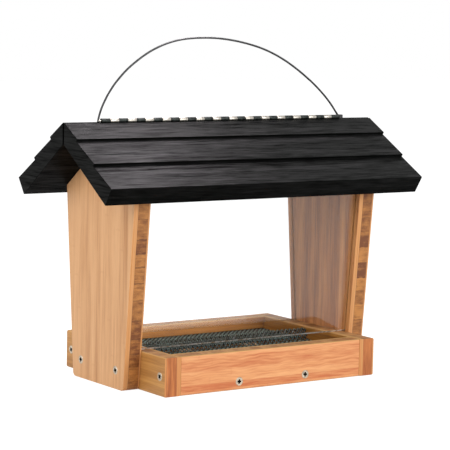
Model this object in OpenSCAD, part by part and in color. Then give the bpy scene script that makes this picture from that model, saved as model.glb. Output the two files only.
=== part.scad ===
// Hopper bird feeder: two leaning end walls on a tray frame, clear windows
// in grooves, and a clapboard roof whose front half lifts on a ridge hinge.
// Millimetres. X runs along the ridge, the front faces -Y, Z is up, and the
// origin is at the middle of the base.

/* [Tray] */
// Length of the tray, and the distance between the end walls
tray_len = 219.6; // [180:0.2:240]
// Depth of the tray from front to rear
tray_depth = 162.4; // [150:0.2:180]
// Height of the tray boards
tray_h = 33; // [31:0.5:40]
// Thickness of the tray boards
tray_t = 16; // [12:0.5:19]
// Radius on the long edges of the tray boards
tray_ease = 1.5; // [0.5:0.1:2.5]
// Width of the two cross battens under the floor
batten_w = 16; // [12:0.5:24]
// Distance from the middle of one batten to the middle of the other
batten_span = 69.4; // [50:0.2:100]

/* [End walls] */
// Thickness of the end walls
wall_t = 16; // [12:0.5:19]
// Depth of an end wall at its foot
wall_foot = 83.2; // [76:0.2:92]
// Outward lean of the front and rear edges, in degrees
wall_lean = 5.1; // [3:0.02:7]
// Radius of the two bottom corners of an end wall
wall_corner_r = 4; // [2:0.5:8]
// Distance from a leaning edge to the middle of its window groove
groove_inset = 6.8; // [5.5:0.1:10]
// Depth of the window grooves
groove_depth = 5; // [3:0.5:7]

/* [Windows] */
// Thickness of the clear windows
window_t = 2.5; // [2:0.1:3]
// Play of a window in its groove, on each side
window_play = 0.3; // [0.1:0.05:0.5]
// Gap between the top of a window and the roof
window_top_gap = 0.6; // [0.3:0.1:2]

/* [Mesh floor] */
// Height of the underside of the mesh above the base
floor_h = 21; // [18:0.1:22.5]
// Height of the fold that stands up along the middle of the mesh
fold_rise = 10.4; // [4:0.1:12]
// Half width of the fold at its foot
fold_half = 7; // [4:0.5:15]
// Thickness of the mesh sheet
floor_t = 1; // [0.6:0.1:1.4]
// Depth of the saw kerfs that hold the mesh
kerf_depth = 3.2; // [2:0.1:5]
// Width of the strands of the mesh, as a share of a diamond's pitch
strand_share = 0.14; // [0.08:0.01:0.3]

/* [Roof] */
// Length of the roof along the ridge
roof_len = 324; // [300:1:360]
// Pitch of the fixed rear panel, in degrees
roof_pitch = 35.4; // [31:0.1:37]
// Pitch of the lifting front panel, in degrees
front_pitch = 33.2; // [30:0.1:36]
// Height of the inner ridge line above the base
ridge_h = 205.4; // [190:0.2:215]
// Length of a roof panel along its underside
panel_len = 82.9; // [78:0.1:90]
// Thickness of a roof panel at the lower edge of each course
roof_t = 17.1; // [14:0.1:19]
// Length of the lower courses, measured down the slope
course_len = 33.4; // [28:0.1:36]
// Height of the step between two courses
course_step = 2.4; // [1:0.1:3]
// Gap under the lifting panel where it lies on the end walls
rest_gap = 0.3; // [0.2:0.05:0.5]

/* [Ridge hinge] */
// Length of the hinge
hinge_len = 252; // [200:1:252]
// Diameter of the hinge barrel
barrel_d = 4; // [3.6:0.1:4.4]
// Diameter of the hinge pin
hinge_pin_d = 1.9; // [1.5:0.1:2.1]
// Clearance between the pin and the knuckles, on the radius
pin_play = 0.05; // [0.02:0.01:0.09]
// Thickness of the hinge leaves
leaf_t = 0.9; // [0.7:0.05:1]
// Depth of the hinge leaves down the joint of the roof
leaf_depth = 14.5; // [12:0.1:16]
// Gap between the two closed leaves
leaf_gap = 0.2; // [0.1:0.05:0.5]
// Gap between two knuckles
knuckle_gap = 0.3; // [0.2:0.05:0.6]
// Gap between the knuckles and the recess in the roof panels
barrel_gap = 0.4; // [0.2:0.05:0.8]
// Height of the pin's axis above the front edge of the ridge
barrel_rise = 1.2; // [0.8:0.05:3]
// Length by which the left end of the pin stands out
pin_tail = 2; // [0:0.1:4]
// Distance between neighbouring hinge screws
hinge_screw_pitch = 38; // [28:1:40]
// Shank diameter of the hinge screws
hinge_screw_d = 1.8; // [1.4:0.1:2.2]
// Head diameter of the hinge screws
hinge_screw_head = 3.2; // [2.6:0.1:4]
// Length of the hinge screws
hinge_screw_len = 8; // [6:0.5:9]

/* [Screws] */
// Shank diameter of the wood screws
screw_d = 3.6; // [3:0.1:4]
// Head diameter of the wood screws
screw_head = 7.4; // [6.4:0.1:8]
// Depth of the countersunk heads
screw_head_h = 2.2; // [1.6:0.1:2.6]
// Length of the wood screws
screw_len = 28; // [24:0.5:29]
// Clearance round the screws in their holes
screw_play = 0.05; // [0.02:0.01:0.1]
// Height of the screws at the corners of the tray
corner_screw_h = 16.5; // [10:0.1:18]
// Height of the screws that hold the end walls
wall_screw_h = 16; // [10:0.1:24]
// Distance between the two screws of an end wall
wall_screw_span = 57.5; // [40:0.5:64]
// Height of the screws that hold the cross battens
batten_screw_h = 7; // [5.5:0.1:14]
// Depth of the roof screws below the face of the roof
roof_screw_sink = 0.4; // [0:0.1:1]
// Distance of the upper roof screws from the inner ridge line
roof_screw_top = 21; // [16:0.5:26]
// Distance of the lower roof screws from the inner ridge line
roof_screw_low = 58; // [50:0.5:62]

/* [Hanger] */
// Diameter of the hanger cable
cable_d = 1.8; // [1.4:0.1:2]
// Diameter of the holes for the cable
cable_hole_d = 2.8; // [2.6:0.1:3.4]
// Distance of the cable behind the middle of the ridge
cable_back = 4; // [4:0.1:5.5]
// Diameter of the crimped stops under the roof
stop_d = 4; // [3.6:0.1:4.6]
// Length of the crimped stops
stop_len = 8; // [6:0.5:10]
// Diameter of the bushing at the right end of the hinge
bushing_d = 6.8; // [5.6:0.1:7]
// Height of the bushing above the front edge of the ridge
bushing_rise = 3; // [1.5:0.1:4]
// Depth of the bushing below the front edge of the ridge
bushing_depth = 5; // [3:0.5:8]

/* [Hidden] */

bamboo = "#dba872";
stained = "#2b2928";
clear = [0.85, 0.9, 0.92, 0.3];
zinc = "#c9ccd0";
blackened = "#303236";

// Cuts run this far past the face that they open
over = 1;
round_fn = 48;
small_fn = 24;

// Tray frame
tray_in = tray_len - 2 * tray_t;
tray_gap = tray_depth - 2 * tray_t;
floor_play = 0.3;
kerf_play = 0.1;

// End walls
wall_out = tray_len / 2 + wall_t;
wall_foot_half = wall_foot / 2;
corner_y = wall_foot_half + tan(wall_lean) * wall_corner_r - wall_corner_r / cos(wall_lean);

// Roof: s is measured down the underside from the inner ridge line and v
// stands at right angles to it
function roof_pt(s, v, pitch) =
    [s * cos(pitch) + v * sin(pitch), ridge_h - s * sin(pitch) + v * cos(pitch)];
course_count = 3;
course_taper = course_step / course_len;
function course_of(s) = min(course_count - 1, floor((panel_len - s) / course_len));
function roof_face(s) = roof_t - course_taper * (panel_len - s - course_of(s) * course_len);

// The joint between the panels holds both leaves of the hinge
joint_half = leaf_gap / 2 + leaf_t;
top_butt = panel_len - (course_count - 1) * course_len;
function ridge_s(pitch) = (joint_half - (roof_t - course_taper * top_butt) * sin(pitch))
    / (cos(pitch) + course_taper * sin(pitch));
ridge_top = roof_pt(ridge_s(front_pitch),
    roof_t - course_taper * (top_butt - ridge_s(front_pitch)), front_pitch)[1];
// Length of the drills that pass right through the roof
drill_reach = 60;

// Windows: their lean line starts at this distance from the middle
groove_foot = wall_foot_half - groove_inset / cos(wall_lean);
window_seat = 0.1;
groove_side_play = 0.4;
groove_reach = 10;
window_low = (tray_h + window_seat + window_t / 2 * sin(wall_lean)) / cos(wall_lean);
function window_high(pitch) = (ridge_h - window_top_gap / cos(pitch)
        - tan(pitch) * (groove_foot + window_t / 2 * cos(wall_lean))
        + window_t / 2 * sin(wall_lean))
    / (cos(wall_lean) + tan(pitch) * sin(wall_lean));

// Mesh floor: the pattern of diamonds in its flats and in its fold
floor_half = tray_gap / 2 + kerf_depth - floor_play;
mesh_cols = 10;
mesh_rows = 5;
mesh_margin = 3;
open_share = 1 - strand_share;
mesh_col_pitch = (tray_in - 2 * mesh_margin) / (mesh_cols - 0.5 + open_share);
mesh_row_pitch = (tray_gap / 2 - fold_half - 2 * mesh_margin)
    / (mesh_rows - 1 + 2 * open_share);
fold_bend = atan(fold_rise / fold_half);
fold_hole_mid = 0.45;
fold_hole_half = 0.28;

// Hinge
hinge_z = ridge_top + barrel_rise;
knuckle_count = 29;
knuckle_pitch = hinge_len / knuckle_count;
leaf_top_drop = barrel_d / 2 + 0.3;
leaf_overlap = 0.5;
leaf_low_drop = barrel_rise + leaf_depth;
hinge_screw_count = 7;
hinge_screw_edge = 6;
hinge_screw_drop = leaf_low_drop - hinge_screw_edge;

// Screws: the head's rim, tip and cross slot, as shares of its own sizes
screw_rim = 0.18;
screw_taper = 0.85;
screw_tip = 0.2;
slot_width = 0.14;
slot_reach = 0.26;
slot_depth = 0.7;
corner_screw_y = tray_depth / 2 - tray_t / 2;
wall_mid_x = tray_len / 2 + wall_t / 2;

// Hanger: the cable's stops are sunk in the rear panel from below
stop_play = 0.1;
stop_depth = 7;
stop_top = ridge_h + stop_depth;
bushing_foot = ridge_top - bushing_depth;
left_hole_x = -(wall_out + 0.6);
right_hole_x = wall_out + bushing_d / 2 + 0.9;
bushing_bore_d = cable_hole_d + 0.2;
bushing_lip = 0.4;
bushing_flare = 3.4;
cable_sides = 8;
cable_steps = 3;
// Route of the cable, from the left stop over the arch to the right stop
route = [
    [-126.4, 4, 205], [-126.4, 4, 212], [-126.4, 4, 218.5], [-126.2, 3.9, 224],
    [-125.1, 3.6, 229.5], [-122.7, 3.3, 236.2], [-118.4, 3.1, 244.5], [-113.9, 3, 251.2],
    [-108.4, 3, 257.9], [-97.9, 3, 268.1], [-83.7, 3, 278.2], [-71.7, 3, 284.7],
    [-59.6, 3, 289.4], [-47.4, 3, 292.5], [-35.1, 3, 294.1], [-22.6, 3, 294.7],
    [-10, 3, 294.6], [2.7, 3, 293.6], [15.5, 3, 291.8], [28.5, 3, 289.2],
    [41.6, 3, 285.7], [54.9, 3, 280.8], [68.3, 3, 274.4], [81.9, 3, 266.4],
    [95.4, 3, 257.2], [104.6, 3, 250], [112.8, 3, 242.7], [119.9, 3.1, 235.4],
    [125.6, 3.4, 228.6], [128, 3.7, 225.95], [129.55, 3.9, 222.6], [130.1, 4, 218.5],
    [130.1, 4, 212], [130.1, 4, 205]];

// A profile in Y and Z, drawn along X
module along_x(length) {
    rotate([90, 0, 90]) linear_extrude(length, center = true) children();
}

// A square with round corners, from its lowest corner
module eased_square(w, h, r) {
    translate([r, 0]) square([w - 2 * r, h]);
    translate([0, r]) square([w, h - 2 * r]);
    for (x = [r, w - r], y = [r, h - r])
        translate([x, y]) circle(r, $fn = small_fn);
}

// Roof panels
module panel_profile(pitch) {
    polygon(concat(
        [[joint_half, ridge_h - tan(pitch) * joint_half], roof_pt(panel_len, 0, pitch)],
        [for (i = [0 : course_count - 1], edge = [0, 1])
            let (butt = panel_len - i * course_len,
                 head = i == course_count - 1 ? ridge_s(pitch) : butt - course_len)
            edge == 0 ? roof_pt(butt, roof_t, pitch)
                : roof_pt(head, roof_t - course_taper * (butt - head), pitch)]));
}

// A panel on the rear side, with the recess for the knuckles
module panel_blank(pitch) {
    difference() {
        along_x(roof_len) panel_profile(pitch);
        translate([0, 0, hinge_z]) along_x(hinge_len + 2 * knuckle_gap)
            circle(barrel_d / 2 + barrel_gap, $fn = round_fn);
    }
}

module rear_roof_panel() {
    color(stained) difference() {
        panel_blank(roof_pitch);
        at_roof_screws() screw_hole(screw_len, screw_d, screw_head, screw_head_h);
        at_fixed_hinge_screws()
            screw_hole(hinge_screw_len, hinge_screw_d, hinge_screw_head, leaf_t);
        for (x = [left_hole_x, right_hole_x]) translate([x, cable_back, stop_top]) {
            translate([0, 0, -over])
                cylinder(h = drill_reach, d = cable_hole_d, $fn = round_fn);
            mirror([0, 0, 1])
                cylinder(h = drill_reach, d = stop_d + 2 * stop_play, $fn = round_fn);
        }
        translate([right_hole_x, cable_back, bushing_foot])
            cylinder(h = drill_reach, d = bushing_d + 2 * screw_play, $fn = round_fn);
    }
}

module front_roof_panel() {
    color(stained) difference() {
        mirror([0, 1, 0]) panel_blank(front_pitch);
        at_moving_hinge_screws()
            screw_hole(hinge_screw_len, hinge_screw_d, hinge_screw_head, leaf_t);
    }
}

// End walls
module wall_profile() {
    front_ridge = ridge_h - rest_gap / cos(front_pitch);
    rear_z = (ridge_h - tan(roof_pitch) * wall_foot_half)
        / (1 + tan(roof_pitch) * tan(wall_lean));
    front_z = (front_ridge - tan(front_pitch) * wall_foot_half)
        / (1 + tan(front_pitch) * tan(wall_lean));
    crest_y = (ridge_h - front_ridge) / (tan(roof_pitch) + tan(front_pitch));
    turn = wall_corner_r * [cos(wall_lean), 1 - sin(wall_lean)];
    polygon([
        [-corner_y, 0], [corner_y, 0], [corner_y + turn[0], turn[1]],
        [wall_foot_half + tan(wall_lean) * rear_z, rear_z],
        [crest_y, ridge_h - tan(roof_pitch) * crest_y],
        [-wall_foot_half - tan(wall_lean) * front_z, front_z],
        [-corner_y - turn[0], turn[1]]]);
    for (side = [-1, 1])
        translate([side * corner_y, wall_corner_r]) circle(wall_corner_r, $fn = round_fn);
}

// The window's place, leaning with the edge of the wall; side is -1 at the front
module at_window(side) {
    translate([0, side * groove_foot, 0]) rotate([-side * wall_lean, 0, 0]) children();
}

module right_wall_body() {
    difference() {
        translate([wall_mid_x, 0, 0]) along_x(wall_t) wall_profile();
        for (side = [-1, 1]) at_window(side)
            translate([tray_len / 2 - over, -window_t / 2 - window_play, -groove_reach])
                cube([groove_depth + over, window_t + 2 * window_play,
                    ridge_h + 2 * groove_reach]);
        at_wall_screws() screw_hole(screw_len, screw_d, screw_head, screw_head_h);
        at_roof_screws() screw_hole(screw_len, screw_d, screw_head, screw_head_h);
    }
}

module right_end_wall() {
    color(bamboo) right_wall_body();
}

module left_end_wall() {
    color(bamboo) mirror([1, 0, 0]) right_wall_body();
}

// Windows
module window(side, pitch) {
    half = tray_len / 2 + groove_depth - groove_side_play;
    color(clear) at_window(side) translate([-half, -window_t / 2, window_low])
        cube([2 * half, window_t, window_high(pitch) - window_low]);
}

module front_window() {
    window(-1, front_pitch);
}

module rear_window() {
    window(1, roof_pitch);
}

// Tray boards
module long_tray_board(side) {
    color(bamboo) difference() {
        translate([0, side > 0 ? tray_depth / 2 - tray_t : -tray_depth / 2, 0])
            along_x(tray_in) eased_square(tray_t, tray_h, tray_ease);
        kerf_low = floor_h - kerf_play;
        kerf_w = floor_t + 2 * kerf_play;
        translate([0, side * (tray_gap / 2 + kerf_depth / 2 - over / 2), kerf_low + kerf_w / 2])
            cube([tray_len, kerf_depth + over, kerf_w], center = true);
        at_tray_corner_screws() screw_hole(screw_len, screw_d, screw_head, screw_head_h);
        at_batten_screws() screw_hole(screw_len, screw_d, screw_head, screw_head_h);
    }
}

module tray_end_board(side) {
    color(bamboo) difference() {
        translate([side > 0 ? tray_len / 2 - tray_t : -tray_len / 2, 0, 0])
            rotate([90, 0, 0]) linear_extrude(tray_depth, center = true)
                eased_square(tray_t, tray_h, tray_ease);
        at_tray_corner_screws() screw_hole(screw_len, screw_d, screw_head, screw_head_h);
        at_wall_screws() screw_hole(screw_len, screw_d, screw_head, screw_head_h);
    }
}

module front_tray_board() {
    long_tray_board(-1);
}

module rear_tray_board() {
    long_tray_board(1);
}

module left_tray_board() {
    tray_end_board(-1);
}

module right_tray_board() {
    tray_end_board(1);
}

// Cross battens: the flats of the mesh lie on them
module cross_batten(side) {
    color(bamboo) difference() {
        translate([side * batten_span / 2 - batten_w / 2, -tray_gap / 2, 0])
            cube([batten_w, tray_gap, floor_h]);
        at_batten_screws() screw_hole(screw_len, screw_d, screw_head, screw_head_h);
    }
}

module left_cross_batten() {
    cross_batten(-1);
}

module right_cross_batten() {
    cross_batten(1);
}

// Mesh floor: one sheet with diamond openings, folded up along its middle
module diamond(a, b) {
    polygon([[-a, 0], [0, -b], [a, 0], [0, b]]);
}

module mesh_floor() {
    a = mesh_col_pitch / 2 * open_share;
    b = mesh_row_pitch * open_share;
    first_x = -tray_in / 2 + mesh_margin + a;
    top = floor_h + floor_t;
    foot = fold_half + floor_t * tan(fold_bend / 2);
    color(blackened) difference() {
        along_x(tray_in - 2 * floor_play) polygon([
            [-floor_half, floor_h], [-fold_half, floor_h], [0, floor_h + fold_rise],
            [fold_half, floor_h], [floor_half, floor_h], [floor_half, top], [foot, top],
            [0, floor_h + fold_rise + floor_t / cos(fold_bend)],
            [-foot, top], [-floor_half, top]]);
        for (side = [-1, 1], row = [0 : mesh_rows - 1], col = [0 : mesh_cols - 1])
            translate([first_x + mesh_col_pitch * (col + (row % 2) / 2),
                side * (fold_half + mesh_margin + b + mesh_row_pitch * row), floor_h - over])
                linear_extrude(floor_t + 2 * over) diamond(a, b);
        for (col = [0 : mesh_cols - 1])
            translate([first_x + mesh_col_pitch * (col + 0.5), 0,
                top + fold_rise * fold_hole_mid])
                rotate([90, 0, 0]) linear_extrude(2 * fold_half, center = true)
                    diamond(a, fold_rise * fold_hole_half);
    }
}

// Ridge hinge: one leaf, standing on the rear side of the joint, whose first
// knuckle has this number
module hinge_leaf(first) {
    y0 = leaf_gap / 2;
    difference() {
        union() {
            translate([0, 0, hinge_z]) along_x(hinge_len)
                translate([y0, -leaf_low_drop])
                    square([leaf_t, leaf_low_drop - leaf_top_drop]);
            for (i = [first : 2 : knuckle_count - 1])
                translate([-hinge_len / 2 + knuckle_pitch * (i + 0.5), 0, hinge_z])
                    along_x(knuckle_pitch - knuckle_gap) {
                        circle(d = barrel_d, $fn = round_fn);
                        translate([y0, -leaf_top_drop - leaf_overlap])
                            square([leaf_t, leaf_top_drop + leaf_overlap]);
                    }
        }
        translate([0, 0, hinge_z]) rotate([0, 90, 0])
            cylinder(h = hinge_len + 2 * over, d = hinge_pin_d + 2 * pin_play,
                center = true, $fn = round_fn);
        at_fixed_hinge_screws()
            screw_hole(hinge_screw_len, hinge_screw_d, hinge_screw_head, leaf_t);
    }
}

module hinge_fixed_leaf() {
    color(zinc) hinge_leaf(1);
}

module hinge_moving_leaf() {
    color(blackened) mirror([0, 1, 0]) hinge_leaf(0);
}

module hinge_pin() {
    color(zinc) translate([-hinge_len / 2 - pin_tail, 0, hinge_z]) rotate([0, 90, 0])
        cylinder(h = hinge_len + pin_tail, d = hinge_pin_d, $fn = round_fn);
}

// Screws: the head's face is at the origin and the shank runs down -Z
module screw_profile(length, d, head, head_h, extra) {
    polygon([[0, extra > 0 ? over : 0], [head / 2 + extra, extra > 0 ? over : 0],
        [head / 2 + extra, -head_h * screw_rim], [d / 2 + extra, -head_h],
        [d / 2 + extra, -length * screw_taper], [d * screw_tip + extra, -length - extra],
        [0, -length - extra]]);
}

module screw(length, d, head, head_h) {
    slot = head * slot_width;
    difference() {
        rotate_extrude($fn = small_fn)
            screw_profile(length, d, head, head_h, 0);
        for (turn = [0, 90]) rotate([0, 0, turn])
            translate([-head * slot_reach, -slot / 2, -head_h * slot_depth])
                cube([2 * head * slot_reach, slot, head_h]);
    }
}

module screw_hole(length, d, head, head_h) {
    rotate_extrude($fn = small_fn)
        screw_profile(length, d, head, head_h, screw_play);
}

module at_tray_corner_screws() {
    for (side = [-1, 1], end = [-1, 1])
        translate([side * tray_len / 2, end * corner_screw_y, corner_screw_h])
            rotate([0, side * 90, 0]) children();
}

module at_wall_screws() {
    for (side = [-1, 1], end = [-1, 1])
        translate([side * wall_out, end * wall_screw_span / 2, wall_screw_h])
            rotate([0, side * 90, 0]) children();
}

module at_batten_screws() {
    for (side = [-1, 1], end = [-1, 1])
        translate([side * batten_span / 2, end * tray_depth / 2, batten_screw_h])
            rotate([end * -90, 0, 0]) children();
}

module at_roof_screws() {
    for (side = [-1, 1], s = [roof_screw_top, roof_screw_low]) {
        spot = roof_pt(s, roof_face(s) - roof_screw_sink, roof_pitch);
        translate([side * wall_mid_x, spot[0], spot[1]])
            rotate([-roof_pitch, 0, 0]) children();
    }
}

module at_fixed_hinge_screws() {
    for (i = [0 : hinge_screw_count - 1])
        translate([(i - (hinge_screw_count - 1) / 2) * hinge_screw_pitch, leaf_gap / 2,
            hinge_z - hinge_screw_drop]) rotate([90, 0, 0]) children();
}

module at_moving_hinge_screws() {
    mirror([0, 1, 0]) at_fixed_hinge_screws() children();
}

module wood_screw() {
    screw(screw_len, screw_d, screw_head, screw_head_h);
}

module hinge_screw() {
    screw(hinge_screw_len, hinge_screw_d, hinge_screw_head, leaf_t);
}

module tray_corner_screws() {
    color(zinc) at_tray_corner_screws() wood_screw();
}

module wall_screws() {
    color(zinc) at_wall_screws() wood_screw();
}

module batten_screws() {
    color(zinc) at_batten_screws() wood_screw();
}

module roof_screws() {
    color(blackened) at_roof_screws() wood_screw();
}

module hinge_fixed_screws() {
    color(zinc) at_fixed_hinge_screws() hinge_screw();
}

module hinge_moving_screws() {
    color(zinc) at_moving_hinge_screws() hinge_screw();
}

// Hanger cable: a tube swept along a smooth curve through the route's points
function blend4(a, b, c, d, t) =
    0.5 * ((2 * b) + (c - a) * t + (2 * a - 5 * b + 4 * c - d) * t * t
        + (3 * b - a - 3 * c + d) * t * t * t);

function smooth(pts, steps) =
    let (n = len(pts) - 1)
    concat([for (i = [0 : n - 1], k = [0 : steps - 1])
        blend4(pts[max(i - 1, 0)], pts[i], pts[i + 1], pts[min(i + 2, n)], k / steps)],
        [pts[n]]);

module tube(path, d, sides) {
    n = len(path);
    rings = [for (i = [0 : n - 1])
        let (ahead = path[min(i + 1, n - 1)] - path[max(i - 1, 0)],
             dir = ahead / norm(ahead),
             u = cross([0, 1, 0], dir) / norm(cross([0, 1, 0], dir)),
             w = cross(dir, u))
        for (k = [0 : sides - 1])
            path[i] + d / 2 * (cos(360 * k / sides) * u + sin(360 * k / sides) * w)];
    polyhedron(rings, concat(
        [[for (k = [0 : sides - 1]) sides - 1 - k]],
        [[for (k = [0 : sides - 1]) (n - 1) * sides + k]],
        [for (i = [0 : n - 2], k = [0 : sides - 1])
            let (k2 = (k + 1) % sides)
            [i * sides + k, i * sides + k2, (i + 1) * sides + k2, (i + 1) * sides + k]]));
}

module hanger_cable() {
    color(blackened) tube(smooth(route, cable_steps), cable_d, cable_sides);
}

module cable_stops() {
    color(blackened) for (x = [left_hole_x, right_hole_x])
        translate([x, cable_back, stop_top - stop_len]) difference() {
            cylinder(h = stop_len, d = stop_d, $fn = round_fn);
            translate([0, 0, -over])
                cylinder(h = stop_len + 2 * over, d = cable_d + 2 * stop_play, $fn = round_fn);
        }
}

module cable_bushing() {
    bushing_h = bushing_rise + bushing_depth;
    color(blackened) translate([right_hole_x, cable_back, bushing_foot]) difference() {
        cylinder(h = bushing_h, d = bushing_d, $fn = round_fn);
        translate([0, 0, -over])
            cylinder(h = bushing_h + 2 * over, d = bushing_bore_d, $fn = round_fn);
        translate([0, 0, bushing_h - bushing_flare])
            cylinder(h = bushing_flare, d1 = bushing_bore_d, d2 = bushing_d - 2 * bushing_lip,
                $fn = round_fn);
    }
}

front_roof_panel();
rear_roof_panel();
left_end_wall();
right_end_wall();
front_window();
rear_window();
front_tray_board();
rear_tray_board();
left_tray_board();
right_tray_board();
left_cross_batten();
right_cross_batten();
mesh_floor();
hinge_fixed_leaf();
hinge_moving_leaf();
hinge_pin();
hinge_fixed_screws();
hinge_moving_screws();
tray_corner_screws();
wall_screws();
batten_screws();
roof_screws();
hanger_cable();
cable_stops();
cable_bushing();
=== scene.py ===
"""Hopper bird feeder: bamboo boards, clear windows, a mesh floor, a black clapboard roof
on a ridge hinge, and a wire hanger. Metres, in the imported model's frame."""
from math import atan2, cos, hypot, pi, radians, sin, sqrt

import bmesh
import bpy
from mathutils import Matrix, Vector


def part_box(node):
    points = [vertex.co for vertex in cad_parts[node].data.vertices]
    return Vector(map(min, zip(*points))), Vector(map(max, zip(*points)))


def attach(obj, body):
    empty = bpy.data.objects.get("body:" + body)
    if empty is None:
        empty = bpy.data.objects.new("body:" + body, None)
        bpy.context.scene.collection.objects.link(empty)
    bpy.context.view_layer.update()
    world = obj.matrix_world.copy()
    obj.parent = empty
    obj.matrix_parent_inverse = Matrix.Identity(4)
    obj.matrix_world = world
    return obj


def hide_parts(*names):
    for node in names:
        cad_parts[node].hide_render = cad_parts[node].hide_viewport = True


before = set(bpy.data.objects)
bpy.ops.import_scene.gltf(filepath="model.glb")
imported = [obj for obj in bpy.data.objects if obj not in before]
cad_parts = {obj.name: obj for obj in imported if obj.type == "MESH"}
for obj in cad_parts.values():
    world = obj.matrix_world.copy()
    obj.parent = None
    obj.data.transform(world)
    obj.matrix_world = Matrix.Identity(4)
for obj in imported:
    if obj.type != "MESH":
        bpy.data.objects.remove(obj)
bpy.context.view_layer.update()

MM = 0.001
BASE_BODY = "feeder"
LID_BODY = "lifting_roof"

# Sizes from the part's source, in millimetres
TRAY_LEN, TRAY_DEPTH, TRAY_T, WALL_T = 219.6, 162.4, 16.0, 16.0
WALL_OUT, WALL_MID = TRAY_LEN / 2 + WALL_T, TRAY_LEN / 2 + WALL_T / 2
CORNER_SCREW_Z, WALL_SCREW_Z, BATTEN_SCREW_Z = 16.5, 16.0, 7.0
WALL_SCREW_SPAN, BATTEN_SPAN = 57.5, 69.4
FLOOR_H, FLOOR_T, FLOOR_IN_KERF, FOLD_RISE, FOLD_HALF = 21.0, 1.0, 2.9, 10.4, 7.0
ROOF_PITCH, RIDGE_H, PANEL_LEN, ROOF_T = radians(35.4), 205.4, 82.9, 17.1
COURSE_LEN, COURSE_STEP, COURSE_COUNT = 33.4, 2.4, 3
ROOF_SCREWS_DOWN, ROOF_SCREW_SINK = (21.0, 58.0), 0.4
HINGE_Z, HINGE_LEN, KNUCKLE_COUNT, KNUCKLE_GAP = 224.241, 252.0, 29, 0.3
BARREL_D, PIN_D, PIN_PLAY, PIN_TAIL = 4.0, 1.9, 0.05, 2.0
LEAF_T, LEAF_GAP, LEAF_DROP, LEAF_OVERLAP = 0.9, 0.2, 0.3, 0.4
HINGE_SCREW_PITCH, HINGE_SCREW_COUNT, HINGE_SCREW_Z = 38.0, 7, 214.541
CABLE_D, CABLE_BACK = 1.8, 4.0
LEFT_HOLE_X, RIGHT_HOLE_X = -126.4, 130.1
STOP_DEPTH, STOP_LEN = 7.0, 8.0
# Each screw's length, shank, head and height of head
WOOD_SCREW, HINGE_SCREW = (28.0, 3.6, 7.4, 2.2), (8.0, 1.8, 3.2, LEAF_T)

# The hanger's route, from the left stop over the arch to the right stop
CABLE_ROUTE = [
    (-126.4, 4, 205), (-126.4, 4, 212), (-126.4, 4, 218.5), (-126.2, 3.9, 224),
    (-125.1, 3.6, 229.5), (-122.7, 3.3, 236.2), (-118.4, 3.1, 244.5), (-113.9, 3, 251.2),
    (-108.4, 3, 257.9), (-97.9, 3, 268.1), (-83.7, 3, 278.2), (-71.7, 3, 284.7),
    (-59.6, 3, 289.4), (-47.4, 3, 292.5), (-35.1, 3, 294.1), (-22.6, 3, 294.7),
    (-10, 3, 294.6), (2.7, 3, 293.6), (15.5, 3, 291.8), (28.5, 3, 289.2),
    (41.6, 3, 285.7), (54.9, 3, 280.8), (68.3, 3, 274.4), (81.9, 3, 266.4),
    (95.4, 3, 257.2), (104.6, 3, 250), (112.8, 3, 242.7), (119.9, 3.1, 235.4),
    (125.6, 3.4, 228.6), (128, 3.7, 225.95), (129.55, 3.9, 222.6), (130.1, 4, 218.5),
    (130.1, 4, 212), (130.1, 4, 205)]
CABLE_STEPS = 3

# How bamboo is mixed, in millimetres
EDGE_SHIFT = 300.0  # counts strips from beyond the board's edge
FACE_PITCH = 11.0  # sets a board's two faces apart
LAYER_STEP = 3.7  # how far the noise moves from one face to the next
SKIN_IN, SKIN_OUT = 4.3, 14.3  # where the core begins and ends in a board's edge
GLUE_LINE = 0.3

# Light, middle and dark tones
PALE = (222, 173, 124), (207, 156, 107), (178, 124, 75)
WARM = (240, 177, 120), (226, 154, 98), (200, 112, 62)
OLIVE = (196, 144, 78), (172, 120, 60), (136, 88, 36)
# The rear tray board's tones: darker than the front's, partly painted shade
REAR_SHADE_RUSSET = (206, 140, 54), (182, 114, 38), (128, 72, 20)
# The tray end boards' inner tones: partly the wood, partly painted shade
END_INSIDE_SHADE_BROWN = (194, 134, 52), (168, 107, 36), (122, 70, 20)
# The gable boards' inner tones: partly the wood, partly painted shade
WALL_INSIDE_SHADE_BROWN = (222, 156, 90), (200, 131, 72), (156, 92, 44)
BATTEN = (206, 158, 100), (186, 134, 80), (146, 98, 50)


def placed(name, data):
    """A new object in the scene."""
    thing = bpy.data.objects.new(name, data)
    bpy.context.scene.collection.objects.link(thing)
    return thing


# Camera, light and floor

def aim_camera():
    """The photograph's view: bearing to the left, a little above, with a slight roll."""
    bearing, height, roll = (radians(a) for a in (34.469, 6.242, 1.166))
    target, distance = Vector((0.00304, 0.0, 0.1302)), 1.7307
    back = Vector((-sin(bearing) * cos(height),
            -cos(bearing) * cos(height), sin(height)))
    right = (-back).cross(Vector((0, 0, 1))).normalized()
    up = right.cross(-back)
    level_right = right * cos(roll) + up * sin(roll)
    level_up = up * cos(roll) - right * sin(roll)
    camera = bpy.data.cameras.new("photo_camera")
    camera.sensor_width = 36.0
    camera.lens = 156.629
    camera.clip_start, camera.clip_end = 0.05, 40.0
    stand = placed("photo_camera", camera)
    turn = Matrix((level_right, level_up, back)).transposed().to_4x4()
    stand.matrix_world = Matrix.Translation(target + back * distance) @ turn
    bpy.context.scene.camera = stand


def hang_lamp(name, place, aim, size, power, colour=(1.0, 1.0, 1.0)):
    """One square soft box."""
    lamp = bpy.data.lights.new(name, "AREA")
    lamp.shape, lamp.size = "SQUARE", size
    lamp.energy, lamp.color = power, colour
    box = placed(name, lamp)
    box.location = place
    box.rotation_euler = (Vector(aim) - Vector(place)).to_track_quat("-Z", "Y").to_euler()


def grey(level):
    """A linear grey."""
    return (level, level, level, 1.0)


def reckoning(operation):
    """What a sign does to a value in a node tree."""
    return lambda value, *others: value.tree.math(operation, value, *others)


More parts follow.
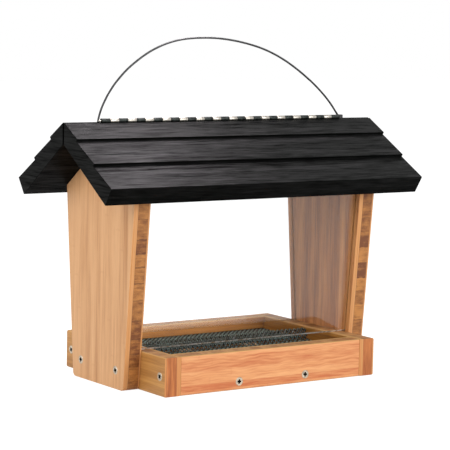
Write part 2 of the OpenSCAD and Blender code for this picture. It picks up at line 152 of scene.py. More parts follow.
class Value:
    """A node's output, which formulas can reckon with."""
    __add__, __sub__ = reckoning("ADD"), reckoning("SUBTRACT")
    __mul__, __truediv__ = reckoning("MULTIPLY"), reckoning("DIVIDE")
    __abs__ = reckoning("ABSOLUTE")

    def __init__(self, tree, socket):
        self.tree, self.socket = tree, socket

    def __rsub__(self, other):
        return self.tree.math("SUBTRACT", other, self)


class Wiring:
    """A node tree being wired: each call adds a node and hands back its output."""
    family = "ShaderNode"

    def __init__(self, tree):
        self.nodes, self.links = tree.nodes, tree.links
        self.nodes.clear()

    def add(self, kind, feeds=(), out=0, **settings):
        """kind is the name of a node of this family, or the whole type of another."""
        node = self.nodes.new(kind if "Node" in kind else self.family + kind)
        for key, value in settings.items():
            setattr(node, key, value)
        for socket, value in dict(feeds).items():
            if isinstance(value, Value):
                self.links.new(value.socket, node.inputs[socket])
            else:
                node.inputs[socket].default_value = value
        return Value(self, node.outputs[out]) if len(node.outputs) else node

    def math(self, operation, *values):
        return self.add("ShaderNodeMath", enumerate(values), operation=operation)

    def vector(self, *values):
        return self.add("ShaderNodeCombineXYZ", enumerate(values))

    def split(self, vector):
        parts = self.add("ShaderNodeSeparateXYZ", {0: vector}).socket.node.outputs
        return [Value(self, part) for part in parts]


def seen_by_eye(w):
    """1 for rays from the camera, a mirror or glass, which meet the white background."""
    found = w.add("LightPath", out="Is Camera Ray")
    for label in ("Is Glossy Ray", "Is Transmission Ray"):
        found = w.math("MAXIMUM", found, w.add("LightPath", out=label))
    return found


def light_studio():
    """White all round, a soft box to the left, one in front, and one over the ridge."""
    world = bpy.data.worlds.new("studio")
    bpy.context.scene.world = world
    world.use_nodes = True
    w = Wiring(world.node_tree)
    room = w.add("Background", {"Color": grey(1.0), "Strength": 0.42})
    backdrop = w.add("Background", {"Color": grey(1.0), "Strength": 1.0})
    both = w.add("MixShader", {0: seen_by_eye(w), 1: room, 2: backdrop})
    w.add("OutputWorld", {"Surface": both})

    hang_lamp("left_box", (-2.3, -0.4, 1.15), (0, 0, 0.12), 1.9, 40.0)
    hang_lamp("front_box", (0.9, -2.4, 1.0), (0, 0, 0.12), 1.4, 37.0)
    hang_lamp("ridge_box", (0.055, 0.06, 0.53), (-0.149, -0.03, 0.212), 0.15, 1.4,
            (1.0, 0.92, 0.97))
    view = bpy.context.scene.view_settings
    view.view_transform = "Standard"


def outside_tray(f):
    """The floor's glow: full outside, none in the shade between the four tray boards."""
    return f.math("MAXIMUM", *(
        f.step(abs(f.spot[axis]), size / 2 - TRAY_T, size / 2, 0.0, 0.9, "LINEAR")
        for axis, size in (("X", TRAY_LEN), ("Y", TRAY_DEPTH))))


def lay_floor():
    """A pale floor that is white to the eye and keeps a soft shadow."""
    half, drop = 6.0, -0.0003
    mesh = bpy.data.meshes.new("studio_floor")
    mesh.from_pydata([(x * half, y * half, drop) for x, y in ((-1, -1), (1, -1), (1, 1), (-1, 1))],
            [], [(0, 1, 2, 3)])
    floor = placed("studio_floor", mesh)
    f = Finish("pale_floor")
    bounce = f.add("BsdfDiffuse", {"Color": grey(0.78)})
    matt = f.add("BsdfDiffuse", {"Color": grey(0.4)})
    glow = f.add("Emission", {"Color": grey(1.0), "Strength": outside_tray(f)})
    seen = f.add("AddShader", {0: matt, 1: glow})
    both = f.add("MixShader", {0: seen_by_eye(f), 1: bounce, 2: seen})
    mesh.materials.append(f.close(both))


# Finishes

def shade(*seen):
    """A colour as seen, 0 to 255, as the shader's linear colour."""
    parts = [v / 255 for v in seen]
    return (*(v / 12.92 if v <= 0.04045 else ((v + 0.055) / 1.055) ** 2.4 for v in parts), 1.0)


class Finish(Wiring):
    """A material being mixed. Sizes are in millimetres, colours as seen, 0 to 255."""

    def __init__(self, name):
        self.material = bpy.data.materials.new(name)
        self.material.use_nodes = True
        super().__init__(self.material.node_tree)
        place = self.add("TexCoord", out="Object")
        scaled = self.add("VectorMath", {0: place, "Scale": 1 / MM}, operation="SCALE")
        self.spot = dict(zip("XYZ", self.split(scaled)))

    def noise(self, vector, detail):
        feeds = {"Vector": vector, "Scale": 1.0, "Detail": detail}
        return self.add("TexNoise", feeds, out="Fac")

    def streaks(self, along, across, length, width, seed, detail=2.0, layer=0.0):
        """Noise drawn out along the grain, in streaks of this length and width."""
        vector = self.vector(along / length, across / width if across else 0.0,
                layer * LAYER_STEP + seed)
        return self.noise(vector, detail)

    def patches(self, sizes, detail):
        """Noise in patches of this size, or of one size by axis; 0 keeps an axis out."""
        sizes = sizes if isinstance(sizes, tuple) else (sizes,) * 3
        sides = [self.spot[axis] / size if size else 0.0 for axis, size in zip("XYZ", sizes)]
        return self.noise(self.vector(*sides), detail)

    def pick(self, a, b, seed):
        """One random number for each pair of whole numbers."""
        return self.add("TexWhiteNoise", {"Vector": self.vector(a, b, seed)}, "Value")

    def step(self, value, low, high, out_low=0.0, out_high=1.0, kind="SMOOTHSTEP"):
        feeds = {"Value": value, "From Min": low, "From Max": high,
                "To Min": out_low, "To Max": out_high}
        return self.add("MapRange", feeds, interpolation_type=kind)

    def blend(self, share, a, b):
        a, b = (shade(*v) if isinstance(v, tuple) else v for v in (a, b))
        return self.add("Mix", {0: share, 6: a, 7: b}, out=2, data_type="RGBA")

    def ramp(self, value, *stops):
        colour = self.add("ValToRGB", {0: value})
        band = colour.socket.node.color_ramp
        while len(band.elements) < len(stops):
            band.elements.new(0.5)
        for element, (position, tone) in zip(band.elements, stops):
            element.position, element.color = position, shade(*tone)
        return colour

    def sum_of(self, base, *parts):
        """base plus each (value - 0.5) times its strength."""
        total = base
        for value, strength in parts:
            total = (value - 0.5) * strength + total
        return total

    def done(self, colour, roughness, relief, depth, **constants):
        """Closes the material; depth is the relief's height."""
        bump = self.add("Bump", {"Strength": 1.0, "Distance": depth * MM, "Height": relief})
        feeds = {"Base Color": colour, "Roughness": roughness, "Normal": bump}
        for label, value in constants.items():
            feeds[label.replace("_", " ")] = value
        return self.close(self.add("BsdfPrincipled", feeds))

    def close(self, surface):
        self.add("OutputMaterial", {"Surface": surface})
        return self.material


def bamboo_face(name, run, across, tones, strip=6.2, seed=0.0, contrast=1.0, waves=1.0,
        figure=46.0):
    """Glued bamboo strips: run is the grain's axis, across the strips' width.

    waves is how far the grain wanders off its line and figure the length of its fine
    streaks, in millimetres."""
    light, middle, dark = tones
    f = Finish(name)
    along, over = f.spot[run], f.spot[across]
    depth_axis = next(a for a in "XYZ" if a not in (run, across))
    layer = f.math("ROUND", f.spot[depth_axis] / FACE_PITCH)

    def streaks(length, width, shift, detail, over=over):
        return f.streaks(along, over, length, width, seed + shift, detail, layer)

    row_place = (over + EDGE_SHIFT) / strip
    own_tone = f.pick(f.math("FLOOR", row_place), layer, seed)
    wander = streaks(22.0, 14.0, 2.0, 2.0) * waves + over
    broad = streaks(150.0, 9.0, 0.0, 3.0, wander)
    fine = streaks(figure, 1.6, 5.0, 3.0, wander)
    fibre = streaks(9.0, 0.28, 9.0, 2.0)
    tone = f.sum_of(0.5, (own_tone, 0.26 * contrast), (broad, 0.9 * contrast),
            (fine, 0.75 * contrast), (fibre, 0.35))
    colour = f.ramp(tone, (0.12, dark), (0.5, middle), (0.88, light))
    # Short dark pores between the fibres
    pore = f.step(streaks(14.0, 0.42, 13.0, 1.0), 0.64, 0.74)
    # The joint between two strips, and the culm's rings across a strip
    side = abs(f.math("FRACT", row_place) - 0.5)
    joint = f.step(side, 0.5 - 0.16 / strip, 0.5 - 0.05 / strip)
    ring = along / 210.0 + own_tone * 7.0 + side * side * 0.012
    ring = f.step(abs(f.math("FRACT", ring) - 0.5), 0.0065, 0.001)
    for mark, strength in ((pore, 0.35), (joint, 0.34), (ring, 0.15)):
        colour = f.blend(mark * strength, colour, dark)
    rough = f.sum_of(0.52, (fibre, 0.12), (fine, 0.1))
    return f.done(colour, rough, fibre + fine * 0.6 - (joint + pore * 0.7), 0.035)


def bamboo_edge(name, through, start, along, skin, core, glue, seed=0.0, block=10.5,
        streaked=False, mirrored=True):
    """The board's edge: a skin ply on each side of a core of crossed strips.

    through is the axis of the thickness and start the face with the thicker skin, in
    millimetres; mirrored serves a pair of boards on both sides of the middle."""
    core_light, core_dark = core
    f = Finish(name)
    reach = abs(f.spot[through]) if mirrored else f.spot[through]
    other = next(a for a in "XYZ" if a not in (through, along))
    corner = f.pick(f.math("SIGN", f.spot[through]), f.math("SIGN", f.spot[other]), seed)
    length = corner * 400.0 + f.spot[along]
    depth = f.sum_of(reach - start, (f.streaks(length, None, 30.0, 1.0, seed), 0.8))
    if streaked:
        swirl = f.streaks(length, depth, 26.0, 3.2, seed + 3.0, 3.0)
        fibre = f.streaks(length, depth, 16.0, 0.5, seed + 4.0, 3.0)
        core_tone, seam = f.sum_of(0.5, (swirl, 1.9), (fibre, 0.8)), 0.0
    else:
        uneven = f.streaks(length, depth, 7.0, 5.0, seed + 1.0)
        cell = {"W": uneven * 0.16 + length / block, "Scale": 1.0, "Randomness": 1.0}
        tone = f.add("TexVoronoi", cell, "Color", voronoi_dimensions="1D")
        tone = f.add("SeparateColor", {0: tone})
        edge = f.add("TexVoronoi", cell, "Distance", voronoi_dimensions="1D",
                feature="DISTANCE_TO_EDGE")
        grain = f.streaks(depth, length, 22.0, 1.1, seed + 3.0, 3.0)
        dots = f.streaks(depth, length, 0.9, 0.7, seed + 6.0)
        swirl = f.streaks(depth, length, 8.0, 4.5, seed + 7.0, 3.0)
        core_tone = f.sum_of(0.5, (tone, 0.8), (grain, 0.7), (dots, 0.6), (swirl, 1.4))
        heavy = f.math("FRACT", tone * 7.3) * (grain * 0.8 + 0.3)
        seam = f.step(edge, 0.07, 0.01) * heavy
    core = f.blend(seam, f.ramp(core_tone, (0.1, core_dark), (0.9, core_light)), glue)
    skin_fine = f.streaks(length, depth, 60.0, 0.6, seed + 8.0, 3.0)
    skin_tone = f.ramp(skin_fine, (0.3, core_light), (0.7, skin))
    in_core = (f.step(depth, SKIN_IN - 0.1, SKIN_IN + 0.2)
            * f.step(depth, SKIN_OUT + 0.1, SKIN_OUT - 0.2))
    lines = [f.step(abs(depth - place), GLUE_LINE, GLUE_LINE / 3)
            for place in (SKIN_IN, SKIN_OUT)]
    line = f.math("MAXIMUM", *lines) * 0.45
    colour = f.blend(line, f.blend(in_core, skin_tone, core), glue)
    rough = f.sum_of(0.62, (skin_fine, 0.2))
    return f.done(colour, rough, core_tone * 0.6 - (line + seam), 0.05)


def stained_bamboo(name, run, across, seed=0.0, lift=1.0, gloss=1.0):
    """Black stain over strips: streaks of wear paler and shine along the fibres; a lift below 1
    dims the pale streaks, on the ends as their own darker tone, on the underside as painted shade.
    """
    f = Finish(name)
    layer = f.math("ROUND", f.spot["Z"] / 40.0)
    along, over = f.spot[run], f.spot[across]

    def streaks(length, width, shift, detail):
        return f.streaks(along, over, length, width, seed + shift, detail, layer)

    own_tone = f.pick(f.math("FLOOR", (over + EDGE_SHIFT) / 5.4), layer, seed)
    broad = streaks(90.0, 5.0, 0.0, 3.0)
    streak = streaks(24.0, 1.7, 2.0, 3.0)
    fine = streaks(17.0, 0.8, 4.0, 3.0)
    fibre = streaks(7.0, 0.25, 8.0, 2.0)
    tone = f.sum_of(0.5, (own_tone, 0.3), (broad, 0.8), (streak, 0.8), (fine, 1.0), (fibre, 0.6))
    # Pale wear streaks; a lift below 1 dims them, on the underside as painted shade
    wear_and_shade_tone = (11 + 17 * lift, 12 + 15 * lift, 11 + 17 * lift)
    colour = f.ramp(tone, (0.1, (6, 6, 6)), (0.55, (11, 12, 11)), (0.95, wear_and_shade_tone))
    rough = f.sum_of(0.44, (fine, 0.22), (fibre, 0.16), (own_tone, 0.05))
    sheen = f.sum_of(0.052, (broad, 0.05), (streak, 0.15), (fine, 0.14), (own_tone, 0.03))
    sheen = f.math("MAXIMUM", sheen, 0.008) * gloss
    return f.done(colour, rough, fibre + fine * 0.8 + streak, 0.08, Specular_IOR_Level=sheen)


def clear_sheet():
    """Clear acrylic, faintly scuffed, that lets the lamps through."""
    f = Finish("clear_acrylic")
    rough = f.step(f.patches((30.0, 0.0, 30.0), 3.0), 0.35, 0.75, 0.0, 0.006)
    sheet = f.add("BsdfPrincipled", {
        "Base Color": (0.975, 0.98, 0.98, 1.0), "Roughness": rough, "IOR": 1.39,
        "Transmission Weight": 1.0})
    open_way = f.add("BsdfTransparent", {"Color": (0.93, 0.94, 0.94, 1.0)})
    in_shadow = f.add("LightPath", out="Is Shadow Ray")
    return f.close(f.add("MixShader", {0: in_shadow, 1: sheet, 2: open_way}))


def sawn_acrylic(name, low, high):
    """The sheet's sawn and scraped edge with saw marks; its brown tones paint the wood seen
    through the clear edge.
    """
    f = Finish(name)
    marks = f.streaks(f.spot["Z"], f.spot["X"], 6.0, 2.4, 2.0, 3.0)
    return f.done(f.ramp(marks, (0.36, low), (0.54, high)), 0.55, marks, 0.04)


def coated_mesh():
    """Dark grey-green coating; the strands' upward faces take a paler tone, partly wear and partly
    painted light, and the other faces near black as painted shade.
    """
    f = Finish("coated_expanded_metal")
    patch = f.patches((7.0, 7.0, 1.0), 3.0)
    grit = f.patches(1 / 2.2, 2.0)
    upward = f.split(f.add("NewGeometry", out="Normal"))[2]
    lit_worn_tone = f.ramp(f.sum_of(0.5, (patch, 0.8), (grit, 0.9)),
            (0.25, (62, 74, 67)), (0.8, (120, 134, 125)))
    # Painted light and shade by facing: upward faces pale, the rest near black
    colour = f.blend(f.step(upward, 0.25, 0.6), (17, 23, 21), lit_worn_tone)
    return f.done(colour, f.sum_of(0.5, (grit, 0.3)), grit, 0.05, Specular_IOR_Level=0.35)


def bright_zinc(name, low, high):
    """Zinc-plated steel: crystal patches and fine scratches."""
    f = Finish(name)
    patch = f.patches(1 / 0.6, 4.0)
    scratch = f.streaks(f.spot["X"], f.spot["Y"] + f.spot["Z"], 3.0, 0.12, 1.0)
    colour = f.ramp(f.sum_of(0.5, (patch, 1.1), (scratch, 0.4)), (0.2, low), (0.8, high))
    return f.done(colour, f.sum_of(0.34, (scratch, 0.22), (patch, 0.2)), scratch, 0.006,
            Metallic=1.0)


def patchy_black(name, sizes, detail, low, high, rough, depth, **constants):
    """A black finish with faint patches; low and high are (where in the noise, tone)."""
    f = Finish(name)
    patch = f.patches(sizes, detail)
    level, spread = rough
    roughness = f.sum_of(level, (patch, spread)) if spread else level
    return f.done(f.ramp(patch, low, high), roughness, patch, depth, **constants)


def black_steel():
    """Blackened steel with a paler rub where it is handled."""
    return patchy_black("blackened_steel", 1 / 0.45, 4.0, (0.35, (24, 26, 25)),
            (0.7, (60, 65, 62)), (0.42, 0.3), 0.02, Metallic=0.85)


def shade_painted_recess():
    """The driver's recess, painted near black as its shade."""
    return patchy_black("driver_recess", 1.0, 2.0, (0.3, (12, 12, 12)), (0.7, (28, 26, 24)),
            (0.85, 0.0), 0.03, Specular_IOR_Level=0.1)


def coated_cable():
    """Black vinyl over the strands, a little shiny."""
    return patchy_black("coated_wire", (6.0, 2.0, 6.0), 3.0, (0.3, (16, 17, 18)),
            (0.7, (38, 39, 40)), (0.36, 0.25), 0.01)


def black_plastic():
    """Moulded black plastic with a fine matt grain."""
    return patchy_black("bushing_plastic", 1 / 3, 3.0, (0.3, (18, 18, 19)),
            (0.7, (34, 34, 35)), (0.45, 0.2), 0.02)


# Shapes

def show(name, mesh, node, body=BASE_BODY):
    """A finished piece, riding on its body in place of its solid."""
    piece = placed(name, mesh)
    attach(piece, body)
    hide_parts(node)
    return piece


def made_plain(source, name):
    """The evaluated shape as a plain mesh; the working object goes."""
    graph = bpy.context.evaluated_depsgraph_get()
    mesh = bpy.data.meshes.new_from_object(source.evaluated_get(graph),
            preserve_all_data_layers=True, depsgraph=graph)
    mesh.name = name
    bpy.data.objects.remove(source)
    return mesh


def as_mesh(bm, name, *finishes):
    """The bmesh, which ends here, as a mesh with these finishes."""
    mesh = bpy.data.meshes.new(name)
    bm.to_mesh(mesh)
    bm.free()
    for finish in finishes:
        mesh.materials.append(finish)
    return mesh


def smooth(mesh, sharp_above=None):
    """Smooth shading, but for edges sharper than this many degrees."""
    mesh.polygons.foreach_set("use_smooth", [True] * len(mesh.polygons))
    if sharp_above:
        mesh.set_sharp_from_angle(angle=radians(sharp_above))
    return mesh


def soften(bm, name, finishes, sharp_above=50.0):
    """The bmesh as a mesh with smooth easings and flat, true faces."""
    work = placed(name, smooth(as_mesh(bm, name, *finishes), sharp_above))
    weigh = work.modifiers.new("true_faces", "WEIGHTED_NORMAL")
    weigh.keep_sharp = True
    return made_plain(work, name)


def solid_of(node):
    """A copy of a solid, its loose triangles merged."""
    bm = bmesh.new()
    bm.from_mesh(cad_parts[node].data)
    bmesh.ops.remove_doubles(bm, verts=bm.verts, dist=2e-6)
    return bm


def join_flats(bm):
    """Joins the triangles of each flat or nearly flat face."""
    bmesh.ops.dissolve_limit(bm, angle_limit=radians(0.4), verts=bm.verts, edges=bm.edges)


def face_outward(bm):
    bmesh.ops.recalc_face_normals(bm, faces=bm.faces)


def corners_above(bm, degrees):
    """The edges whose two faces meet at more than this angle."""
    return [e for e in bm.edges if len(e.link_faces) == 2
            and e.calc_face_angle() > radians(degrees)]


def ease_edges(bm, edges, width, segments=2):
    """Rounds or chamfers these edges, by a width in millimetres."""
    bmesh.ops.bevel(bm, geom=edges, offset=width * MM, segments=segments, profile=0.5,
            affect="EDGES", clamp_overlap=False)


def ring(bm, at, u, w, reach, sides):
    """Points round at, in the plane of u and w; reach gives the radius for each turn."""
    turns = [2 * pi * k / sides for k in range(sides)]
    return [bm.verts.new(at + (u * cos(t) + w * sin(t)) * reach(t)) for t in turns]


def bridge(bm, rings):
    """Faces from each ring to the next; a ring of one point closes a pole."""
    made = []
    for low, high in zip(rings, rings[1:]):
        sides = max(len(low), len(high))
        for k, k2 in zip(range(sides), [*range(1, sides), 0]):
            corners = dict.fromkeys([low[k % len(low)], low[k2 % len(low)],
                    high[k2 % len(high)], high[k % len(high)]])
            if len(corners) > 2:
                made.append(bm.faces.new(list(corners)))
    return made


def lathe(name, profile, finish, centre, axis, sides=32):
    """A closed turned shape; profile is (radius, along the axis), in millimetres."""
    bm = bmesh.new()
    u, w, up = Vector(axis).to_track_quat("Z", "Y").to_matrix().col
    rings = []
    for radius, height in profile:
        at = (up * height + Vector(centre)) * MM
        rings.append(ring(bm, at, u, w, lambda t: radius * MM, sides) if radius
                else [bm.verts.new(at)])
    if profile[0][0]:
        rings.append(rings[0])
    bridge(bm, rings)
    face_outward(bm)
    return soften(bm, name, [finish], 40.0)


# Places of the screws and holes

def roof_point(s, v):
    """A point of the rear panel: s down the slope, v square to it, in millimetres."""
    return (s * cos(ROOF_PITCH) + v * sin(ROOF_PITCH),
            RIDGE_H - s * sin(ROOF_PITCH) + v * cos(ROOF_PITCH))


def roof_screw(s):
    """A head's place on the rear panel, s down the slope."""
    up = PANEL_LEN - s
    course = min(COURSE_COUNT - 1, up // COURSE_LEN)
    face = ROOF_T - COURSE_STEP / COURSE_LEN * (up - course * COURSE_LEN)
    return roof_point(s, face - ROOF_SCREW_SINK)


def four_heads(x, y, z, axis):
    """A head at each corner, facing out along X or Y."""
    return [((side * x, end * y, z), (side, 0, 0) if axis == "X" else (0, end, 0))
            for side in (-1, 1) for end in (-1, 1)]


def screw_places():
    """Each group's head centres and the way they face, as in the part's source."""
    lean = (0, sin(ROOF_PITCH), cos(ROOF_PITCH))
    row = [(i - (HINGE_SCREW_COUNT - 1) / 2) * HINGE_SCREW_PITCH
           for i in range(HINGE_SCREW_COUNT)]
    return {
        "tray_corner_screws": four_heads(TRAY_LEN / 2, (TRAY_DEPTH - TRAY_T) / 2,
                                         CORNER_SCREW_Z, "X"),
        "wall_screws": four_heads(WALL_OUT, WALL_SCREW_SPAN / 2, WALL_SCREW_Z, "X"),
        "batten_screws": four_heads(BATTEN_SPAN / 2, TRAY_DEPTH / 2, BATTEN_SCREW_Z, "Y"),
        "roof_screws": [((side * WALL_MID, *roof_screw(s)), lean)
                        for side in (-1, 1) for s in ROOF_SCREWS_DOWN],
        "hinge_fixed_screws": [((x, LEAF_GAP / 2, HINGE_SCREW_Z), (0, -1, 0)) for x in row],
        "hinge_moving_screws": [((x, -LEAF_GAP / 2, HINGE_SCREW_Z), (0, 1, 0)) for x in row]}


PLACES = screw_places()
# How far a hole's edges reach from its axis, its mouth and its depth, in millimetres
SCREW_REACH, SMALL_REACH, CABLE_REACH, BARREL_REACH, HOLE_MOUTH, HOLE_DEPTH = (
    4.4, 2.2, 3.6, 2.7, 3.0, 60.0)
HOLE_AXES = [(Vector(p), Vector(n), SMALL_REACH if "hinge" in group else SCREW_REACH)
        for group, spots in PLACES.items() for p, n in spots]
HOLE_AXES += [(Vector((x, CABLE_BACK, RIDGE_H + HOLE_DEPTH / 2)), Vector((0, 0, 1)), CABLE_REACH)
        for x in (LEFT_HOLE_X, RIGHT_HOLE_X)]


def in_a_hole(vertex):
    """True on the wall or rim of a drilled hole or of the knuckles' recess."""
    point = vertex.co / MM
    if (hypot(point.y, point.z - HINGE_Z) < BARREL_REACH
            and abs(point.x) < HINGE_LEN / 2 + 1):
        return True
    for spot, facing, reach in HOLE_AXES:
        away = point - spot
        along = away.dot(facing)
        if -HOLE_DEPTH < along < HOLE_MOUTH and (away - along * facing).length < reach:
            return True
    return False


def board(node, finishes, choose, body=BASE_BODY, ease=0.45):
    """A board from its solid, with its long edges eased and each face given its finish."""
    bm = solid_of(node)
    join_flats(bm)
    crisp = [e for e in corners_above(bm, 32) if not all(in_a_hole(v) for v in e.verts)]
    ease_edges(bm, crisp, ease)
    bmesh.ops.dissolve_degenerate(bm, dist=1e-6, edges=bm.edges)
    bm.normal_update()
    for face in bm.faces:
        face.material_index = choose(face.normal)
    mesh = soften(bm, node + "_board", finishes)
    show(node + "_board", mesh, node, body)


# Geometry Nodes

class Tree(Wiring):
    """A node tree for shapes."""
    family = "GeometryNode"

    def __init__(self, name, inputs):
        self.group = bpy.data.node_groups.new(name, "GeometryNodeTree")
        super().__init__(self.group)
        sockets = self.group.interface
        for label, kind in {"Geometry": "Geometry", **inputs}.items():
            sockets.new_socket(label, in_out="INPUT", socket_type="NodeSocket" + kind)
        sockets.new_socket("Geometry", in_out="OUTPUT", socket_type="NodeSocketGeometry")
        given = self.nodes.new("NodeGroupInput").outputs
        self.given = {label: Value(self, given[label]) for label in ("Geometry", *inputs)}
        self.end = self.nodes.new("NodeGroupOutput")

    def set_out(self, label, points, **turned):
        """The shape that a named input gives, at each of the points."""
        shape = self.add("ObjectInfo", {"Object": self.given[label]}, "Geometry")
        return self.add("InstanceOnPoints",
                {"Points": points, "Instance": shape, **turned})

    def join(self, *shapes):
        node = self.nodes.new("GeometryNodeJoinGeometry")
        for shape in shapes:
            self.links.new(shape.socket, node.inputs[0])
        return Value(self, node.outputs[0])

    def close(self, shape, material, **more):
        """Ends the tree: real geometry with its material."""
        real = self.add("RealizeInstances", {"Geometry": shape})
        feeds = {"Geometry": real, "Material": self.given[material], **more}
        done = self.add("SetMaterial", feeds)
        self.links.new(done.socket, self.end.inputs[0])
        return self.group


def grown(tree, base, part, values, name):
    """The tree's result on a base mesh, as a plain mesh; part is (input, what repeats)."""
    stock = bpy.data.objects.new("stock", part[1])
    values = {part[0]: stock, **values}
    work = placed(name, base)
    modifier = work.modifiers.new("grown", "NODES")
    modifier.node_group = tree
    for socket in tree.interface.items_tree:
        if socket.in_out == "INPUT" and socket.name in values:
            modifier[socket.identifier] = values[socket.name]
    mesh = made_plain(work, name)
    bpy.data.objects.remove(stock)
    return mesh


# Screws

def set_out_screws():
    """Tree: one screw at each point, its head facing as the point says, turned at random."""
    t = Tree("set_out_screws", {"Screw": "Object", "Turn Seed": "Int", "Head": "Material"})
    facing = t.add("InputNamedAttribute", {"Name": "facing"},
            data_type="FLOAT_VECTOR")
    stand = t.add("FunctionNodeAlignRotationToVector", {"Vector": facing}, axis="Z")
    limits = {"Min": 0.0, "Max": 2 * pi, "Seed": t.given["Turn Seed"]}
    turn = t.add("FunctionNodeRandomValue", limits, 1, data_type="FLOAT")
    spin = t.add("FunctionNodeEulerToRotation", {0: t.vector(0.0, 0.0, turn)})
    both = t.add("FunctionNodeRotateRotation", {"Rotation": stand, "Rotate By": spin},
            rotation_space="LOCAL")
    screws = t.set_out("Screw", t.given["Geometry"], Rotation=both)
    index = t.add("InputMaterialIndex")
    is_head = t.add("FunctionNodeCompare", {2: index, 3: 0}, data_type="INT", operation="EQUAL")
    return t.close(screws, "Head", Selection=is_head)


def cross_outline(reach, half):
    """The driver's cross, seen from above, anticlockwise."""
    arm = [(reach, -half), (reach, half), (half, half)]
    return [(x * c - y * s, x * s + y * c) for c, s in ((1, 0), (0, 1), (-1, 0), (0, -1))
            for x, y in arm]


def countersunk_screw(name, length, shank, head, head_h, sides=28):
    """One screw at the origin, its head's face at z 0 and its shank down -Z."""
    bm = bmesh.new()
    profile = [(head * 0.47, 0.0), (head * 0.5, -head_h * 0.09), (head * 0.5, -head_h * 0.18),
            (shank / 2, -head_h), (shank / 2, -length * 0.85), (shank / 5, -length)]
    rings = [ring(bm, Vector((0, 0, height * MM)), Vector((1, 0, 0)), Vector((0, 1, 0)),
            lambda t: radius * MM, sides) for radius, height in profile]
    bridge(bm, rings)
    bm.faces.new(rings[-1][::-1])
    mouth, floor = ([bm.verts.new((x * MM, y * MM, -deep * MM))
             for x, y in cross_outline(head * reach, head * half)]
            for reach, half, deep in ((0.26, 0.11, 0.0), (0.18, 0.07, head_h * 0.7)))
    dark = bridge(bm, [mouth, floor]) + [bm.faces.new(floor)]
    hole = [bm.edges.get(pair) for edge in (mouth, rings[0])
            for pair in zip(edge, edge[1:] + edge[:1])]
    bmesh.ops.triangle_fill(bm, use_beauty=True, use_dissolve=False, edges=hole,
            normal=(0, 0, 1))
    face_outward(bm)
    # The recess's faces take the second finish, its painted shade
    for face in dark:
        face.material_index = 1
    return as_mesh(bm, name)


def drive_screws(tree, group, screw, plating, dark, seed, body=BASE_BODY):
    """One group of screws, set out at its places."""
    spots = PLACES[group]
    base = bpy.data.meshes.new(group + "_places")
    base.from_pydata([Vector(p) * MM for p, _ in spots], [], [])
    facing = base.attributes.new("facing", "FLOAT_VECTOR", "POINT")
    facing.data.foreach_set("vector", [c for _, n in spots for c in n])
    while len(screw.materials) < 2:
        screw.materials.append(None)
    screw.materials[0], screw.materials[1] = plating, dark
    mesh = grown(tree, base, ("Screw", screw), {"Turn Seed": seed, "Head": plating}, group)
    show(group + "_set", smooth(mesh, 35), group, body)


# Hinge

def rolled_knuckle():
    """One knuckle rolled from the leaf's sheet, its axis along X and its leaf at +Y."""
    length = (HINGE_LEN / KNUCKLE_COUNT - KNUCKLE_GAP) * MM
    outer, inner = BARREL_D / 2, PIN_D / 2 + PIN_PLAY
    low = -(BARREL_D / 2 + LEAF_DROP + LEAF_OVERLAP)
    lip, steps, rounding = radians(-112), 30, 0.16

    def rolled(radius, off):
        """From the leaf's face, which is this far off the axis, round the pin to the lip."""
        first = atan2(-sqrt(radius ** 2 - off ** 2), off)
        turns = [first + (2 * pi + lip - first) * k / steps for k in range(steps + 1)]
        return [(radius * cos(t), radius * sin(t)) for t in turns]

    near, far = LEAF_GAP / 2, LEAF_GAP / 2 + LEAF_T
    outline = [(far, low)] + rolled(outer, far) + rolled(inner, near)[::-1] + [(near, low)]
    bm = bmesh.new()
    ends = [[bm.verts.new((x, y * MM, z * MM)) for y, z in outline]
            for x in (-length / 2, length / 2)]
    bridge(bm, ends)
    for end in ends:
        skin_out, skin_in = end[1:steps + 2], end[steps + 2:2 * steps + 3][::-1]
        for corners in zip(skin_out, skin_out[1:], skin_in[1:], skin_in):
            bm.faces.new(corners)
        bm.faces.new([end[0], end[1], skin_in[0], end[-1]])
    face_outward(bm)
    rim = [e for e in corners_above(bm, 68)
           if abs(e.verts[0].co.x - e.verts[1].co.x) < 1e-7
           and max(v.co.yz.length for v in e.verts) > outer * 0.97 * MM]
    ease_edges(bm, rim, rounding)
    return as_mesh(bm, "rolled_knuckle")


def string_knuckles():
    """Tree: knuckles at every second pitch along the barrel, joined to the leaf's plate."""
    t = Tree("string_knuckles", {"Knuckle": "Object", "Count": "Int", "Start": "Float",
            "Pitch": "Float", "Height": "Float", "Metal": "Material"})
    line = t.add("MeshLine", {
        "Count": t.given["Count"],
        "Start Location": t.vector(t.given["Start"], 0.0, t.given["Height"]),
        "Offset": t.vector(t.given["Pitch"] * 2.0, 0.0, 0.0)}, mode="OFFSET")
    return t.close(t.join(t.set_out("Knuckle", line), t.given["Geometry"]), "Metal")


def leaf_plate(node):
    """The flat of a leaf, cut from its solid just under the barrel."""
    bm = solid_of(node)
    cut = (HINGE_Z - BARREL_D / 2 - LEAF_DROP - 0.02) * MM
    parts = list(bm.verts) + list(bm.edges) + list(bm.faces)
    bmesh.ops.bisect_plane(bm, geom=parts, plane_co=(0, 0, cut), plane_no=(0, 0, 1),
            clear_outer=True)
    bmesh.ops.holes_fill(bm, edges=[e for e in bm.edges if e.is_boundary], sides=0)
    join_flats(bm)
    return as_mesh(bm, node + "_plate")


def hinge_leaf(tree, node, first, count, finish, body):
    """A leaf with its knuckles; the moving one is the fixed one's mirror image."""
    knuckle = rolled_knuckle()
    if body == LID_BODY:
        knuckle.transform(Matrix.Scale(-1, 4, (0, 1, 0)))
        knuckle.flip_normals()
    pitch = HINGE_LEN / KNUCKLE_COUNT
    values = {"Count": count, "Pitch": pitch * MM, "Height": HINGE_Z * MM,
            "Start": (-HINGE_LEN / 2 + pitch * (first + 0.5)) * MM, "Metal": finish}
    mesh = grown(tree, leaf_plate(node), ("Knuckle", knuckle), values, node + "_rolled")
    show(node + "_rolled", smooth(mesh, 35), node, body)


